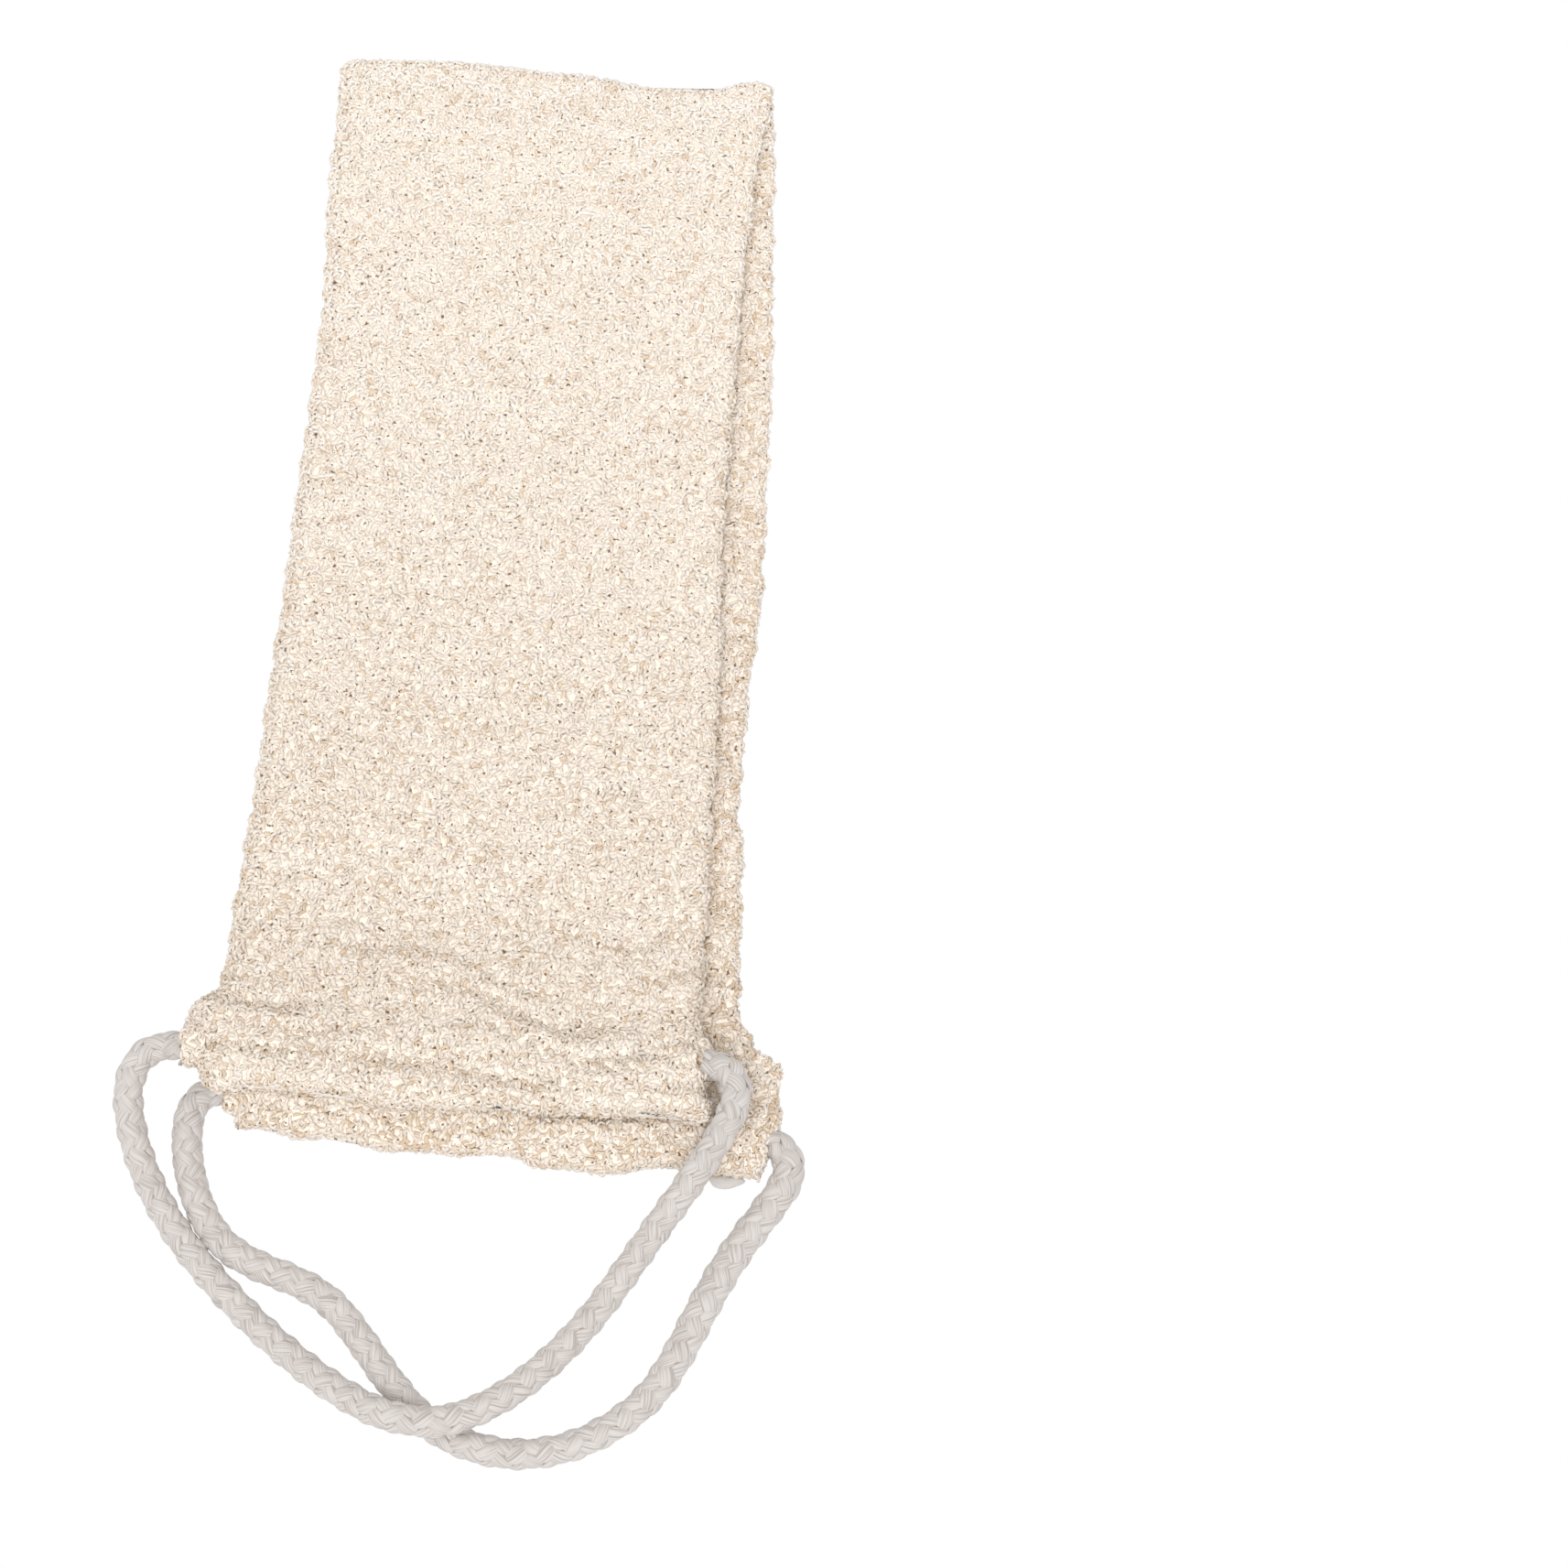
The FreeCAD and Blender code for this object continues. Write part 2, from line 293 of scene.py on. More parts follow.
def warp(points, half):
    """Moves the straight strap's points to where the soft cloth really lies."""
    x, y, z = points[..., 0], points[..., 1], points[..., 2]
    middle_z = FOLD_Z if half is None else half["end"][1]
    y_new = y + eased(FOLD_DIP, x) * ramp(*DIP_Y, y)
    if half is not None:
        end_y = half["end"][0]
        ripple = 0.45 * np.sin(x / 3.1) + 0.35 * np.sin(x / 6.7 + 1.0)
        near_end = ramp(end_y + END_REACH[0], end_y + END_REACH[1], y)
        y_new = y_new + (eased(half["end_shift"], x) + ripple) * near_end
    swell = SWELL_HEIGHT * np.sin(x / 17.0 + y / 41.0) * np.sin(y / 23.0 + 0.6)
    upper_side = ramp(middle_z - 1.0, middle_z + 1.0, z) if half is UPPER else 0.0
    flat_part = ramp(*FLAT_Y, y)
    relief = CREASE_HEIGHT * crease_wave(x, y_new) - SEAM_DEPTH * seam_groove(x, y_new)
    z_new = z + (swell * flat_part + np.maximum(relief, -DEEPEST)) * upper_side
    return np.stack([x, y_new, z_new], axis=-1)


def stadium():
    """A flattened ring, as fractions: along the flat part, and the round ends' sine and cosine."""
    flat = np.linspace(0, 1, FACE_STEPS, endpoint=False)
    arc = np.linspace(math.pi / 2, -math.pi / 2, ARC_STEPS, endpoint=False)
    along = np.concatenate([flat, np.ones(ARC_STEPS), 1 - flat, np.zeros(ARC_STEPS)])
    bulge = np.where(arc < 0, np.cos(arc) ** UNDER_EDGE_POWER, np.cos(arc))
    side = np.concatenate([flat * 0, bulge, flat * 0, -bulge[::-1]])
    height = np.concatenate([flat * 0 + 1, np.sin(arc), flat * 0 - 1, -np.sin(arc)])
    return along, side, height


def half_stations(half):
    """Rows along one half, from the hidden tip inside the fold to the hem's end: y, low z, high z."""
    end_y, end_z, end_radius = half["end"]
    tip = FOLD_Y + FOLD_INSIDE * np.sin(np.radians(TIP_ANGLES))
    flat = np.arange(FLAT_START, end_y, -ROW_STEP)
    y = np.concatenate([tip, flat])
    low = eased(half["bottom"], y) + PILE - half["sag"]
    high = eased(half["top"], y) - PILE
    bend = np.sqrt(np.maximum(FOLD_INSIDE ** 2 - np.maximum(y - FOLD_Y, 0) ** 2, 0.0))
    under_fold = ramp(TUCK_Y, FOLD_Y, y)
    if half is UPPER:
        high = high + (FOLD_Z + bend - high) * under_fold
    else:
        low = low + (FOLD_Z - bend - low) * under_fold
    angle = np.radians(np.linspace(90, 3, HEM_END_ROWS))
    radius = end_radius - PILE
    y = np.concatenate([y, end_y - radius * np.cos(angle)])
    low = np.concatenate([low, end_z - (radius + half["sag"]) * np.sin(angle) ** UNDER_HEM_POWER])
    high = np.concatenate([high, end_z + radius * np.sin(angle)])
    return y, low, np.maximum(high, low + LEAST_THICKNESS)


def edge_wave(y):
    """The small bumps along the strap's edges."""
    return 0.35 * np.sin(y / 1.25 + 2.0 * np.sin(y / 11.0)) + 0.25 * np.sin(y / 2.9)


def half_surface(half):
    """The ground of one half as a closed sock: rows along the strap, columns around it."""
    y, low, high = half_stations(half)
    along, side, height = stadium()
    left = (eased(half["left"], y) + PILE + edge_wave(y))[:, None]
    right = (eased(half["right"], y) - PILE + edge_wave(y + 40.0))[:, None]
    thick = ((high - low) / 2)[:, None]
    middle = ((high + low) / 2)[:, None]
    x = left + thick + along * (right - left - 2 * thick) + thick * side
    z = middle + thick * height
    points = np.stack([x, np.broadcast_to(y[:, None], x.shape), z], axis=-1)
    return warp(points, half)


def fold_line(radius):
    """The fold seen from its side, from the lower half round to the upper half: y and z."""
    tail = np.linspace(FOLD_TAIL_Y, FOLD_Y, TAIL_ROWS, endpoint=False)
    tail_radius = radius - TAIL_SINK * ramp(TUCK_Y, FOLD_TAIL_Y, tail)
    angle = np.radians(np.linspace(-90, 90, BEND_ROWS))
    y = np.concatenate([tail, FOLD_Y + radius * np.cos(angle), tail[::-1]])
    z = np.concatenate([FOLD_Z - tail_radius, FOLD_Z + radius * np.sin(angle),
                        (FOLD_Z + tail_radius)[::-1]])
    return y, z


def fold_surface():
    """The fold's outer layer as a closed ring of cloth bent round: rows along the bend."""
    outer_radius = FOLD_Z - PILE
    middle_radius = (outer_radius + FOLD_INSIDE) / 2
    thick = (outer_radius - FOLD_INSIDE) / 2
    y_mid, z_mid = fold_line(middle_radius)
    y_out, z_out = fold_line(outer_radius)
    along, side, height = stadium()
    share = ramp(0.0, 2 * FOLD_Z, z_mid)
    left = eased(LOWER["left"], y_mid) * (1 - share) + eased(UPPER["left"], y_mid) * share
    right = eased(LOWER["right"], y_mid) * (1 - share) + eased(UPPER["right"], y_mid) * share
    left = left[:, None] + PILE
    right = right[:, None] - PILE
    x = left + thick + along * (right - left - 2 * thick) + thick * side
    y = y_mid[:, None] + (y_out - y_mid)[:, None] * height
    z = z_mid[:, None] + (z_out - z_mid)[:, None] * height
    return warp(np.stack([x, y, z], axis=-1), None)


def collar_surface(mouth, heading):
    """A puffed ring of cloth round the rope where it leaves a hem."""
    turn = np.linspace(0, 2 * math.pi, COLLAR_STEPS + 1)[:, None, None]
    spin = np.linspace(0, 2 * math.pi, COLLAR_SIDES, endpoint=False)[None, :, None]
    forward = unit(np.array([heading[0], heading[1], 0.0]))
    side = np.array([-forward[1], forward[0], 0.0])
    outward = side * np.cos(turn) + np.array([0.0, 0.0, 1.0]) * np.sin(turn)
    centre = np.array(mouth) - forward * COLLAR_SET_BACK + outward * COLLAR_RADIUS
    return (centre + outward * COLLAR_THICKNESS * np.cos(spin)
            + forward * COLLAR_LENGTH * np.sin(spin))


def sock_object(name, surface, material):
    """A closed mesh of a surface whose rows are rings, with a face over each end."""
    rows, columns = surface.shape[:2]
    faces = grid_quads(rows, columns, True).tolist()
    faces.append(list(range(columns)))
    faces.append(list(range(rows * columns - 1, (rows - 1) * columns - 1, -1)))
    mesh = bpy.data.meshes.new(name)
    mesh.from_pydata((surface.reshape(-1, 3) * MM).tolist(), [], faces)
    return new_object(name, mesh, material)


# ---------------------------------------------------------------- pile

LOOP_PITCH = 1.5
JITTER_IN_ROW = 0.3        # how far a loop strays along its row, in steps between loops
JITTER_OFF_ROW = 0.22      # and off its row
LOOPS_IN_A_PIECE = 8200
LOOP_SIDES = 3
LOOP_RINGS = 5
LOOP_HEIGHT = (0.50, 0.95)
LOOP_WIDTH = (1.2, 2.1)
LOOP_LEAN = 0.85           # how far a loop's top leans over to either side
LOOP_SKEW = 0.3            # and towards either foot
LOOP_ROOT = 0.25           # how deep its feet stand in the ground of the knit
YARN_RADIUS = (0.44, 0.60)
HEM_TAN_SHADE = 0.35             # how much more often a loop is tan at the hems than at the fold: painted shade of the hems' crumpled pile
INNER_TAN_AND_SHADE = 1.3            # and on the inner side of the folded strap, partly its own tanner colour and partly painted shade
HEM_SHADE = 0.45           # how much darker the loops are at the hems
CREASE_SHADE = 0.55        # in the creases
SEAM_SHADE = 0.8           # and along the stitching
TAN_SHADE_Y = (20.0, -140.0)     # the hem's painted tan shade grows from none to full between these
SHADE_Y = (150.0, -110.0)  # and the hem's shade between these
FACING = (0.0, 0.7)        # a loop is on the inner side when its normal's height is past these


def loop_sites(surface, rng):
    """Places spread evenly over a surface of rings: point, normal, and the way along a row."""
    surface = np.concatenate([surface, surface[:, :1]], axis=1)
    step = np.linalg.norm(np.diff(surface, axis=0), axis=-1).mean(axis=1)
    travelled = np.concatenate([[0], np.cumsum(step)])
    stations = np.arange(LOOP_PITCH * 0.4, travelled[-1], LOOP_PITCH)
    points, normals, across = [], [], []
    for number, station in enumerate(stations):
        row = min(int(np.searchsorted(travelled, station)) - 1, len(step) - 1)
        share = (station - travelled[row]) / step[row]
        line = surface[row] * (1 - share) + surface[row + 1] * share
        down = unit(surface[row + 1] - surface[row])
        run = np.concatenate([[0], np.cumsum(np.linalg.norm(np.diff(line, axis=0), axis=-1))])
        count = max(int(run[-1] / LOOP_PITCH), 3)
        jitter = rng.uniform(-JITTER_IN_ROW, JITTER_IN_ROW, count)
        places = (np.arange(count) + 0.5 * (number % 2) + jitter) * run[-1] / count
        places = places % run[-1]
        spot = np.stack([np.interp(places, run, line[:, k]) for k in range(3)], axis=-1)
        column = np.clip(np.searchsorted(run, places) - 1, 0, len(run) - 2)
        ahead = unit(line[column + 1] - line[column])
        normal = unit(np.cross(down[column], ahead))
        stray = rng.uniform(-JITTER_OFF_ROW, JITTER_OFF_ROW, (count, 1))
        spot = spot + down[column] * stray * LOOP_PITCH
        points.append(spot)
        normals.append(normal)
        across.append(ahead)
    return np.concatenate(points), np.concatenate(normals), np.concatenate(across)


def loop_points(sites, rng):
    """Small yarn arches that lean over, one at each site: (count, rings, sides, 3), in mm."""
    place, normal, across = sites
    count = len(place)
    down = np.cross(normal, across)
    turn = rng.uniform(0, 2 * math.pi, (count, 1))
    foot = across * np.cos(turn) + down * np.sin(turn)
    other = np.cross(normal, foot)
    lean = other * rng.uniform(-LOOP_LEAN, LOOP_LEAN, (count, 1))
    lean = lean + foot * rng.uniform(-LOOP_SKEW, LOOP_SKEW, (count, 1))
    rise = normal * rng.uniform(*LOOP_HEIGHT, (count, 1)) + lean
    width = rng.uniform(*LOOP_WIDTH, (count, 1))
    yarn = rng.uniform(*YARN_RADIUS, (count, 1))
    root = place - normal * LOOP_ROOT
    rings = []
    for angle in np.linspace(0, math.pi, LOOP_RINGS):
        centre = root - foot * width * 0.5 * np.cos(angle) + rise * np.sin(angle)
        ahead = unit(foot * width * 0.5 * np.sin(angle) + rise * np.cos(angle))
        flat = unit(np.cross(foot, rise))
        up = np.cross(flat, ahead)
        ring = []
        for side in range(LOOP_SIDES):
            spin = 2 * math.pi * side / LOOP_SIDES
            ring.append(centre + yarn * (flat * math.cos(spin) + up * math.sin(spin)))
        rings.append(np.stack(ring, axis=1))
    return np.stack(rings, axis=1)


def pile_objects(name, sites, rng, material, inner):
    """The loops at the sites, in as many pieces as keep each one light.

    inner is 1 where the strap's inner side faces up, tanner partly by its own colour and partly by
    painted shade, -1 where it faces down, and 0 where it is not seen.
    """
    count = len(sites[0])
    pieces = []
    one = grid_quads(LOOP_RINGS, LOOP_SIDES, True)
    for number, start in enumerate(range(0, count, LOOPS_IN_A_PIECE)):
        part = [field[start:start + LOOPS_IN_A_PIECE] for field in sites]
        points = loop_points(part, rng)
        many = len(points)
        quads = one[None] + (np.arange(many) * LOOP_RINGS * LOOP_SIDES)[:, None, None]
        height = np.sin(np.linspace(0, math.pi, LOOP_RINGS))
        rise = np.broadcast_to(height[None, :, None], (many, LOOP_RINGS, LOOP_SIDES))
        x, y = part[0][:, 0], part[0][:, 1]
        facing = inner * part[1][:, 2]
        # Loops turn tan more often toward the hems as painted shade, and on the inner side partly by
        # their own colour and partly as painted shade.
        tan_and_shade_share = HEM_TAN_SHADE * ramp(*TAN_SHADE_Y, y) + INNER_TAN_AND_SHADE * ramp(*FACING, facing)
        tone = rng.uniform(0, 1, (many, 1, 1)) ** (1.0 + tan_and_shade_share[:, None, None])
        tone = np.broadcast_to(tone, rise.shape)
        valley = np.maximum(-crease_wave(x, y), 0)
        shade = HEM_SHADE * ramp(*SHADE_Y, y) + CREASE_SHADE * valley
        if inner < 0:
            shade = shade + SEAM_SHADE * seam_groove(x, y)
        shade = np.broadcast_to(shade[:, None, None], rise.shape)
        fields = {"rise": rise, "tone": tone, "shade": shade}
        attributes = {key: field.reshape(-1) for key, field in fields.items()}
        piece = quad_mesh(f"{name}_{number + 1}", points.reshape(-1, 3), quads.reshape(-1, 4),
                          material, attributes)
        pieces.append(piece)
    return pieces


# ---------------------------------------------------------------- materials

CREAM_LIGHT = (0.975, 0.92, 0.86)
CREAM_MID = (0.92, 0.84, 0.755)
CREAM_TAN = (0.83, 0.69, 0.54)
GROUND_LIGHT = (0.93, 0.85, 0.76)
PIT_SHADE = (0.22, 0.15, 0.10)
PATCH = (0.95, 0.93, 0.90)
# LOOP_FOOT_SHADE and LOOP_SIDE are painted shade, darkest at a loop's feet where its neighbours shade
# it.
LOOP_FOOT_SHADE = (0.78, 0.68, 0.56)
LOOP_SIDE = (0.97, 0.95, 0.93)
LOOP_SHADE = (0.76, 0.72, 0.67)
# ROPE_GAP_SHADE and ROPE_EDGE_SHADE are painted shade in the gaps between the rope's strands and at
# their edges.
ROPE_GAP_SHADE = (0.05, 0.04, 0.035)
ROPE_EDGE_SHADE = (0.42, 0.39, 0.365)
ROPE_CROWN = (0.61, 0.575, 0.555)
ROPE_FILAMENT = (0.66, 0.63, 0.61)
HEM_EDGE = (0.62, 0.595, 0.575)
ROPE_IN_HEM = (0.57, 0.545, 0.525)
THREAD = (0.80, 0.70, 0.58)

STREAKS = (60.0, 260.0, 60.0)        # the pile's pale patches are long across the strap
FIBRES = 4200.0                      # noise scale of the yarn's fibres
SPECKLE = 880.0                      # and of the pits in the ground
FILAMENTS = (3.4, 0.12, 1.0)         # the rope's filaments are long along each strand


class Shader:
    """A material's node tree, built by short calls."""

    def __init__(self, name, roughness, sheen):
        self.material = bpy.data.materials.new(name)
        self.material.use_nodes = True
        self.nodes = self.material.node_tree.nodes
        self.surface = self.nodes["Principled BSDF"]
        self.surface.inputs["Roughness"].default_value = roughness
        self.surface.inputs["Sheen Weight"].default_value = sheen
        self.surface.inputs["Sheen Roughness"].default_value = 0.5
        self.surface.inputs["Specular IOR Level"].default_value = 0.15

    def link(self, source, target):
        self.material.node_tree.links.new(source, target)

    def attribute(self, name):
        node = self.nodes.new("ShaderNodeAttribute")
        node.attribute_name = name
        return node

    def position(self):
        return self.nodes.new("ShaderNodeTexCoord").outputs["Object"]

    def stretched(self, vector, scale):
        node = self.nodes.new("ShaderNodeVectorMath")
        node.operation = "MULTIPLY"
        self.link(vector, node.inputs[0])
        node.inputs[1].default_value = scale
        return node.outputs["Vector"]

    def noise(self, vector, scale, detail):
        node = self.nodes.new("ShaderNodeTexNoise")
        node.inputs["Scale"].default_value = scale
        node.inputs["Detail"].default_value = detail
        self.link(vector, node.inputs["Vector"])
        return node.outputs["Fac"]

    def colours(self, factor, stops):
        """A colour for each factor, through (place, colour) stops."""
        node = self.nodes.new("ShaderNodeValToRGB")
        ramp_of = node.color_ramp
        while len(ramp_of.elements) < len(stops):
            ramp_of.elements.new(0.5)
        for element, (place, colour) in zip(ramp_of.elements, stops):
            element.position = place
            element.color = (*colour, 1.0)
        self.link(factor, node.inputs["Fac"])
        return node.outputs["Color"]

    def multiply(self, first, second):
        node = self.nodes.new("ShaderNodeMix")
        node.data_type = "RGBA"
        node.blend_type = "MULTIPLY"
        node.inputs["Factor"].default_value = 1.0
        self.link(first, node.inputs["A"])
        self.link(second, node.inputs["B"])
        return node.outputs["Result"]

    def bump(self, height, strength, distance):
        node = self.nodes.new("ShaderNodeBump")
        node.inputs["Strength"].default_value = strength
        node.inputs["Distance"].default_value = distance
        self.link(height, node.inputs["Height"])
        self.link(node.outputs["Normal"], self.surface.inputs["Normal"])

    def paint(self, colour):
        self.link(colour, self.surface.inputs["Base Color"])
        return self.material


def pile_material():
    """Cream looped yarn: each loop has its own tone, and painted shade darkens its feet."""
    shader = Shader("pile_knit", 0.95, 0.15)
    tone = shader.colours(shader.attribute("tone").outputs["Fac"],
                          [(0.0, CREAM_TAN), (0.10, CREAM_MID), (0.40, CREAM_LIGHT),
                           (1.0, CREAM_LIGHT)])
    streaks = shader.noise(shader.stretched(shader.position(), STREAKS), 1.0, 3.0)
    patches = shader.colours(streaks, [(0.30, PATCH), (0.62, WHITE)])
    # Painted shade: each loop darkens from its top down to its feet.
    depth = shader.colours(shader.attribute("rise").outputs["Fac"],
                           [(0.0, LOOP_FOOT_SHADE), (0.45, LOOP_SIDE), (1.0, WHITE)])
    shade = shader.colours(shader.attribute("shade").outputs["Fac"],
                           [(0.0, WHITE), (1.0, LOOP_SHADE)])
    fibres = shader.noise(shader.position(), FIBRES, 1.0)
    shader.bump(fibres, 0.4, 0.2 * MM)
    yarn = shader.multiply(tone, patches)
    return shader.paint(shader.multiply(yarn, shader.multiply(depth, shade)))


def ground_material():
    """The ground of the knit, seen between the loops: cream, with dark pits in painted shade."""
    shader = Shader("backing_knit", 0.95, 0.0)
    speckle = shader.noise(shader.position(), SPECKLE, 2.0)
    shader.bump(speckle, 0.8, 0.5 * MM)
    # The dark specks are painted shade in the pits between the loops.
    return shader.paint(shader.colours(speckle, [(0.35, PIT_SHADE), (0.40, GROUND_LIGHT)]))


def rope_material():
    """Off-white braided cotton, with fine filaments along each strand and painted shade in the gaps
    between strands.
    """
    shader = Shader("cotton_rope", 0.75, 0.25)
    lay = shader.attribute("lay").outputs["Vector"]
    filaments = shader.noise(shader.stretched(lay, FILAMENTS), 1.0, 2.0)
    fine = shader.colours(filaments, [(0.32, ROPE_FILAMENT), (0.56, WHITE)])
    # The rope's tone attribute is painted shade: dark in the gaps and at strand edges, light on the
    # crowns.
    depth = shader.colours(shader.attribute("tone").outputs["Fac"],
                           [(0.0, ROPE_GAP_SHADE), (0.26, ROPE_EDGE_SHADE), (0.62, ROPE_CROWN)])
    shader.bump(filaments, 0.55, 0.25 * MM)
    return shader.paint(shader.multiply(depth, fine))


def plain_material(name, colour):
    """A matt material of one colour."""
    shader = Shader(name, 0.85, 0.1)
    shader.surface.inputs["Base Color"].default_value = (*colour, 1.0)
    return shader.material


# ---------------------------------------------------------------- rope handles

ROUTE_STEPS = 24         # of the smooth route between two given points
BRAID_STEP = 0.45        # between rings of a strand
STRANDS_EACH_WAY = 4     # that many wind one way and as many the other
BRAID_PITCH = 27.0       # one turn of a strand round the rope
BRAID_RADIUS = 2.42      # mean radius of the strands' middles
BRAID_WAVE = 0.36        # how far a strand rises over and dives under the next
STRAND_HALF_WIDTH = 1.92
STRAND_HALF_THICKNESS = 0.86
STRAND_SIDES = 16
STRAND_SPREAD = 0.12     # share by which a strand widens on top and narrows where it dives
STRAND_DROOP = 0.62      # how far a strand's edges lie below its middle
LAY_OFFSET = 7.0         # keeps the filaments of one strand unlike the next
CORE_RADIUS = 2.8
# Painted shade of the core seen between the strands, and of the strands' edges.
CORE_SHADE = 0.10
STRAND_EDGE_SHADE = 0.95
GAP_DEPTH = 2.4          # below this distance from the middle the rope's painted shade is darkest
BRAID_OUTSIDE = 3.4

UPPER_PHASE = 0.35
LOWER_PHASE = 0.9

# How loosely the braid lies along each rope: (share of the length, size)
UPPER_FATNESS = [(0.0, 1.0), (0.05, 1.06), (0.9, 1.06), (0.96, 1.14), (1.0, 1.0)]
LOWER_FATNESS = [(0.0, 1.0), (0.06, 1.10), (0.3, 1.08), (0.6, 1.06), (0.8, 1.22), (0.94, 1.22),
                 (1.0, 1.0)]

UPPER_ROPE_POINTS = [
    (-72.4, -133.6, 14.9), (-76.4, -133.648, 14.9), (-81.4, -135.0, 14.6), (-84.9, -138.8, 13.4),
    (-86.4, -145.6, 11.4), (-83.9, -156.6, 8.2), (-78.2, -168.4, 5.6), (-70.2, -179.4, 4.2),
    (-60.4, -189.4, 3.6), (-49.5, -199.0, 3.6), (-38.0, -207.6, 4.2), (-27.0, -214.4, 6.2),
    (-15.0, -220.0, 11.0), (-1.5, -220.8, 11.0), (11.0, -214.0, 6.6), (22.0, -204.0, 4.0),
    (31.5, -192.4, 3.8), (39.2, -180.8, 6.2), (46.6, -170.2, 11.2), (53.6, -160.6, 15.4),
    (58.8, -151.6, 16.8), (62.4, -143.9, 16.8), (63.0, -138.4, 16.2), (60.8, -133.6, 15.3),
    (56.6, -132.052, 14.9), (52.6, -132.1, 14.9),
]
LOWER_ROPE_POINTS = [
    (-62.5, -142.34, 5.1), (-66.5, -142.18, 5.1), (-70.2, -144.2, 4.9), (-72.0, -148.6, 4.6),
    (-71.9, -154.8, 4.2), (-70.5, -162.0, 3.9), (-66.8, -171.5, 3.6), (-60.5, -179.8, 3.5),
    (-51.5, -184.6, 3.5), (-41.5, -187.6, 3.5), (-32.5, -192.0, 3.5), (-25.0, -200.0, 3.5),
    (-16.5, -210.5, 3.5), (-8.0, -219.0, 3.5), (1.5, -224.2, 3.5), (14.0, -226.6, 3.5),
    (27.0, -224.4, 3.5), (38.0, -218.6, 3.5), (46.5, -211.0, 3.5), (52.5, -200.5, 3.5),
    (58.0, -187.8, 3.5), (64.0, -176.2, 3.6), (70.6, -166.6, 3.9), (76.0, -158.6, 4.3),
    (76.6, -153.6, 4.6), (74.6, -149.8, 4.9), (70.5, -147.66, 5.1), (66.5, -147.5, 5.1),
]


def route_line(points):
    """Evenly spaced places along the smooth route that the given points steer, in mm."""
    curve = bpy.data.curves.new("route", "CURVE")
    curve.dimensions = "3D"
    curve.resolution_u = ROUTE_STEPS
    spline = curve.splines.new("NURBS")
    spline.points.add(len(points) - 1)
    for point, place in zip(spline.points, points):
        point.co = (*place, 1.0)
    spline.order_u = 3
    spline.use_endpoint_u = True
    holder = bpy.data.objects.new("route", curve)
    mesh = bpy.data.meshes.new_from_object(holder)
    line = np.array([v.co for v in mesh.vertices], float)
    bpy.data.objects.remove(holder)
    bpy.data.meshes.remove(mesh)
    bpy.data.curves.remove(curve)
    run = np.concatenate([[0], np.cumsum(np.linalg.norm(np.diff(line, axis=0), axis=-1))])
    places = np.linspace(0, run[-1], int(run[-1] / BRAID_STEP))
    even = np.stack([np.interp(places, run, line[:, k]) for k in range(3)], axis=-1)
    return even, places


def line_frames(line):
    """Two directions square to the line at each place, turning with it and never spinning."""
    ahead = unit(np.gradient(line, axis=0))
    up = np.zeros_like(line)
    current = np.array([0.0, 0.0, 1.0])
    for number, direction in enumerate(ahead):
        current = unit(current - direction * (current @ direction))
        up[number] = current
    return up, np.cross(ahead, up)


def braid_points(line, run, phase, fatness):
    """Flat strands woven over and under each other round a line, with a core inside them."""
    fat = eased(fatness, run / run[-1])
    up, side = line_frames(line)
    spins = np.linspace(0, 2 * math.pi, STRAND_SIDES, endpoint=False)
    points, gap_shades, lays = [], [], []
    for strand in range(2 * STRANDS_EACH_WAY):
        way = 1 if strand < STRANDS_EACH_WAY else -1
        place = (strand % STRANDS_EACH_WAY) * 2 * math.pi / STRANDS_EACH_WAY
        angle = way * 2 * math.pi * run / BRAID_PITCH + place + phase
        lift = way * np.cos(STRANDS_EACH_WAY * (angle - phase))
        out = up * np.cos(angle)[:, None] + side * np.sin(angle)[:, None]
        centre = line + out * (fat * (BRAID_RADIUS + BRAID_WAVE * lift))[:, None]
        ahead = unit(np.gradient(centre, axis=0))
        flat = unit(np.cross(out, ahead))
        rise = np.cross(ahead, flat)
        width = STRAND_HALF_WIDTH * (fat * (1 + STRAND_SPREAD * lift))[:, None]
        rings = []
        for spin in spins:
            droop = STRAND_DROOP * math.cos(spin) ** 2
            rings.append(centre + flat * width * math.cos(spin)
                         + rise * (STRAND_HALF_THICKNESS * math.sin(spin) - droop))
        points.append(np.stack(rings, axis=1))
        # Painted shade: darker deeper in the braid, at a strand's edges and on the core.
        reach = np.linalg.norm(points[-1] - line[:, None], axis=-1) / fat[:, None]
        depth = np.clip((reach - GAP_DEPTH) / (BRAID_OUTSIDE - GAP_DEPTH), 0, 1)
        gap_shades.append(depth * (1 - STRAND_EDGE_SHADE * np.abs(np.cos(spins)) ** 8))
        across = np.cos(spins)[None] * STRAND_HALF_WIDTH
        lay = np.broadcast_arrays(across, run[:, None], strand * LAY_OFFSET)
        lays.append(np.stack(lay, axis=-1))
    ring = up[:, None] * np.cos(spins)[None, :, None] + side[:, None] * np.sin(spins)[None, :, None]
    points.append(line[:, None] + CORE_RADIUS * fat[:, None, None] * ring)
    gap_shades.append(np.full_like(gap_shades[0], CORE_SHADE))
    lays.append(lays[0])
    return np.stack(points), np.stack(gap_shades), np.stack(lays)


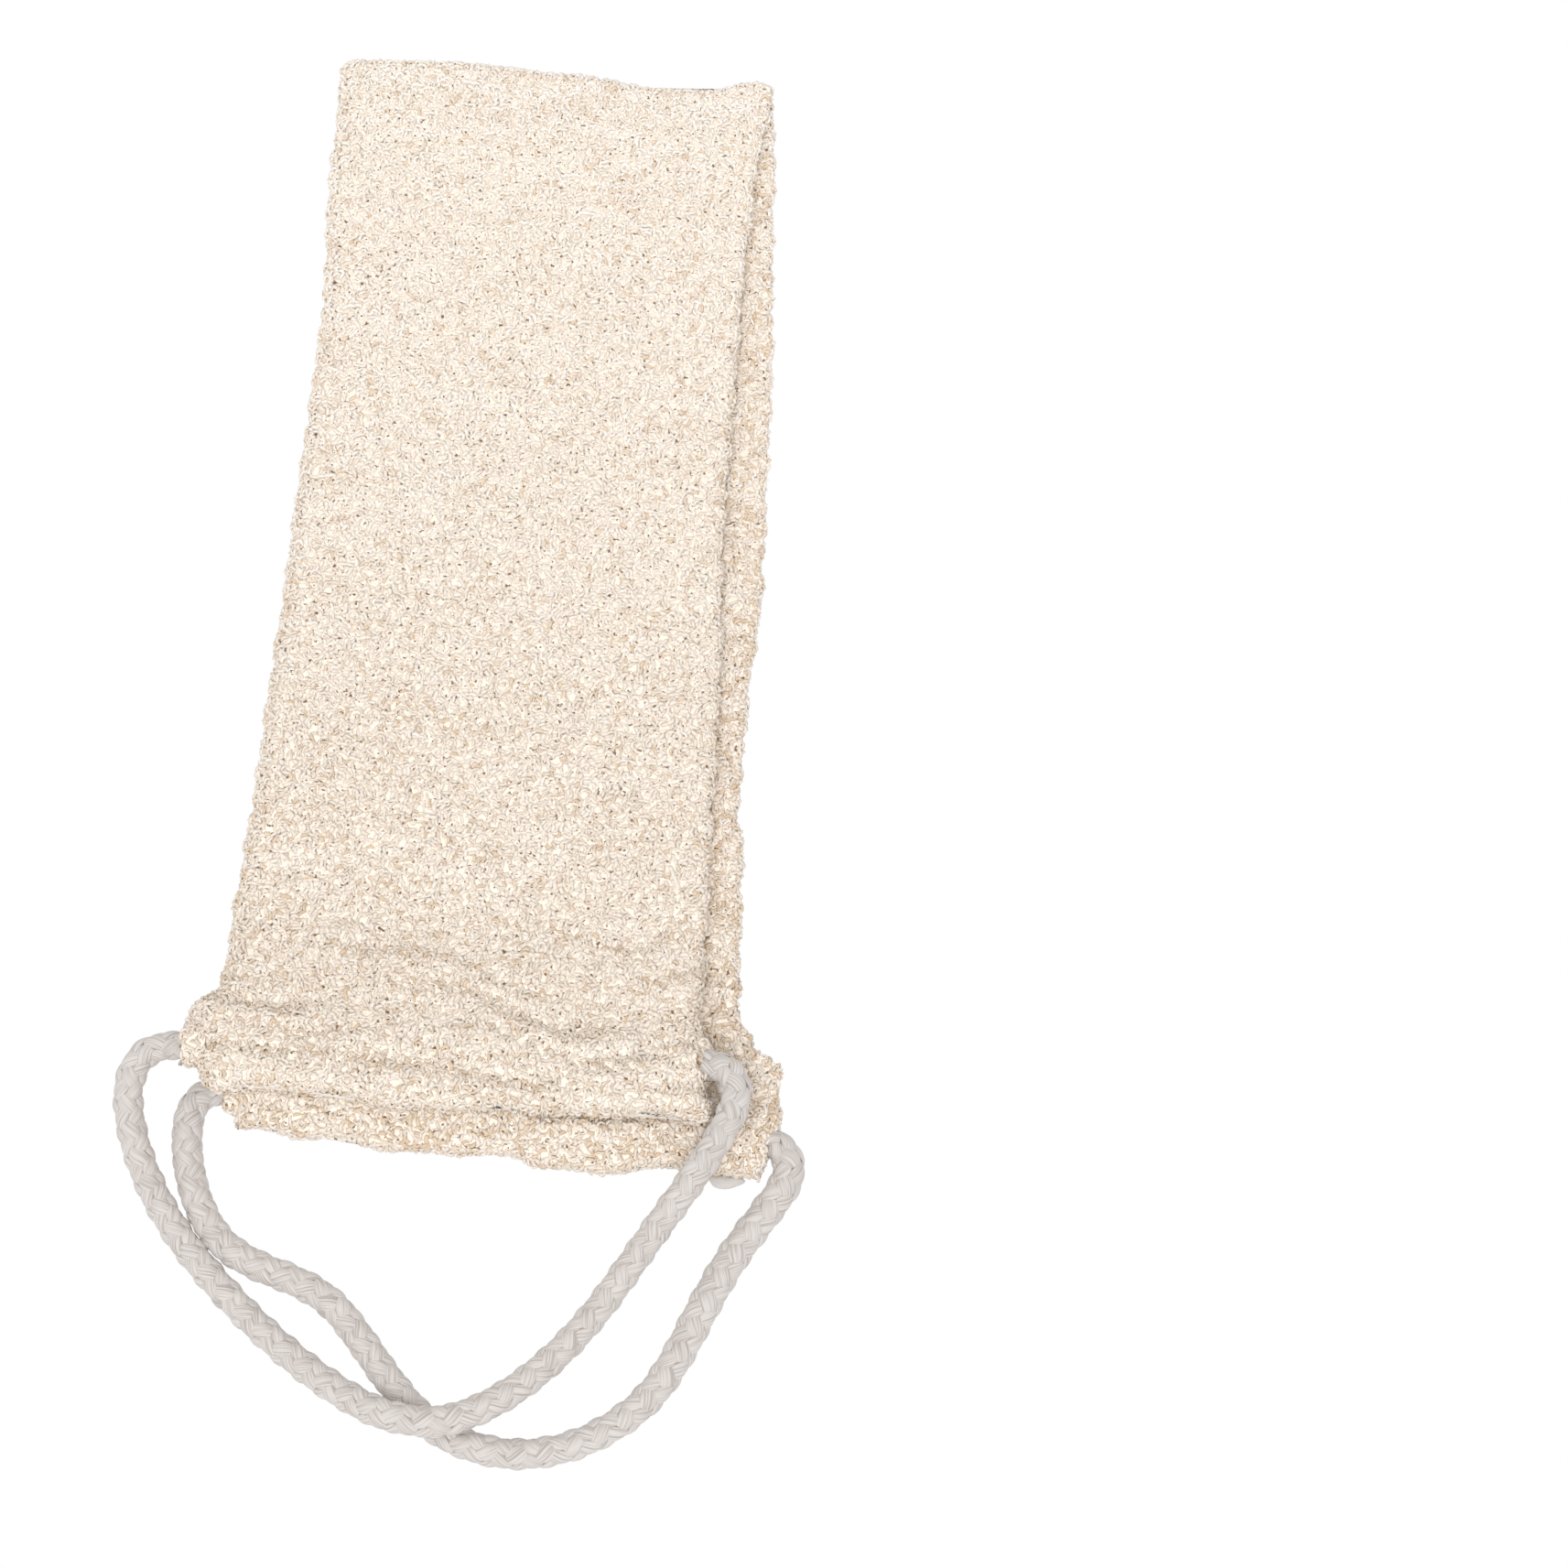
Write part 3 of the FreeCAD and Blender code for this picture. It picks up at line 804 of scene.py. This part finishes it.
def braided_rope(name, points, phase, fatness, material):
    """A braided rope along a route. Also gives the route's places and its length, in mm."""
    line, run = route_line(points)
    shape, tone, lay = braid_points(line, run, phase, fatness)
    count = len(line)
    one = grid_quads(count, STRAND_SIDES, True)
    quads = one[None] + (np.arange(len(shape)) * count * STRAND_SIDES)[:, None, None]
    # tone holds the painted shade of the braid's gaps.
    attributes = {"tone": tone.reshape(-1), "lay": lay.reshape(-1, 3)}
    rope = quad_mesh(name, shape.reshape(-1, 3), quads.reshape(-1, 4), material, attributes)
    return rope, line, run[-1]


# ---------------------------------------------------------------- building

SEED = 7
HEM_BIT_PLACE = (61.0, -158.0, 1.7)
HEM_BIT_SIZE = (4.4, 1.8, 1.2)       # half its length, width and height
HEM_BIT_ROWS = 13
HEM_BIT_SIDES = 24
POLE_ANGLE = 0.02                    # the rows stop this short of its highest and lowest point


def build_collars(side, half, material):
    """The collars of cloth at the two mouths of a hem: the objects and their surfaces."""
    tunnel = np.subtract(half["mouths"][1], half["mouths"][0])
    collars, rings = [], []
    for number, (mouth, way) in enumerate(zip(half["mouths"], (-1, 1))):
        ring = collar_surface(mouth, way * tunnel)
        quads = grid_quads(ring.shape[0], ring.shape[1], True)
        name = f"{side}_collar_{number + 1}"
        collars.append(quad_mesh(name, ring.reshape(-1, 3), quads, material, {}))
        rings.append(ring)
    return collars, rings


def build_strap(rng):
    """The two halves of the strap with their hems, and the fold between them."""
    loops = pile_material()
    ground = ground_material()
    for side, half, inner in (("lower", LOWER, 1), ("upper", UPPER, -1)):
        body = f"{side}_half"
        surface = half_surface(half)
        cloth = sock_object(f"{side}_cloth", surface, ground)
        collars, rings = build_collars(side, half, ground)
        sites = [loop_sites(cloth_or_ring, rng) for cloth_or_ring in [surface] + rings]
        all_sites = [np.concatenate(field) for field in zip(*sites)]
        pile = pile_objects(f"{side}_pile", all_sites, rng, loops, inner)
        for piece in [cloth] + collars + pile:
            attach(piece, body)
        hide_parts(f"{side}_face_ply", f"{side}_back_ply", f"{side}_left_edge_seam",
                    f"{side}_right_edge_seam", f"{side}_hem_tunnel")
    surface = fold_surface()
    cloth = sock_object("fold_cloth", surface, ground)
    pile = pile_objects("fold_pile", loop_sites(surface, rng), rng, loops, 0)
    for piece in [cloth] + pile:
        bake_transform(piece)
    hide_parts("fold_face_ply", "fold_back_ply")


def build_handles():
    """The free stretch of each rope handle, from mouth to mouth of its hem."""
    cotton = rope_material()
    routes = {"upper": (UPPER_ROPE_POINTS, UPPER_PHASE, UPPER_FATNESS),
              "lower": (LOWER_ROPE_POINTS, LOWER_PHASE, LOWER_FATNESS)}
    for side, (points, phase, fatness) in routes.items():
        body = f"{side}_handle"
        rope, line, length = braided_rope(f"{side}_rope", points, phase, fatness, cotton)
        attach(rope, body)
        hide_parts(f"{side}_handle_rope")


def build_hem_bit():
    """The turned-in edge of the lower hem, a small pale fold that peeks out at its right corner."""
    turn = np.linspace(0, 2 * math.pi, HEM_BIT_SIDES, endpoint=False)[None, :]
    rise = np.linspace(POLE_ANGLE, math.pi - POLE_ANGLE, HEM_BIT_ROWS)[:, None]
    ripple = 1 + 0.12 * np.sin(3 * turn + 0.7)
    fold = [HEM_BIT_SIZE[0] * np.cos(turn) * np.sin(rise) * ripple,
            HEM_BIT_SIZE[1] * np.sin(turn) * np.sin(rise) * ripple,
            HEM_BIT_SIZE[2] * np.cos(rise) + 0 * turn]
    points = np.stack(fold, axis=-1).reshape(-1, 3) + HEM_BIT_PLACE
    quads = grid_quads(HEM_BIT_ROWS, HEM_BIT_SIDES, True)
    piece = quad_mesh("lower_hem_bit", points, quads, plain_material("hem_edge", HEM_EDGE), {})
    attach(piece, "lower_half")


def dress_hidden_nodes():
    """The rope inside the hems, its whipping and the hem stitching keep their own shape."""
    inner_rope = plain_material("rope_in_hem", ROPE_IN_HEM)
    thread = plain_material("thread", THREAD)
    for side in ("lower", "upper"):
        for node, material in ((f"{side}_handle_rope_in_hem", inner_rope),
                               (f"{side}_handle_rope_whipping", thread),
                               (f"{side}_hem_stitching", thread)):
            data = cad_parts[node].data
            data.materials.clear()
            data.materials.append(material)


add_camera()
add_stage()
build_handles()
build_strap(np.random.default_rng(SEED))
build_hem_bit()
dress_hidden_nodes()
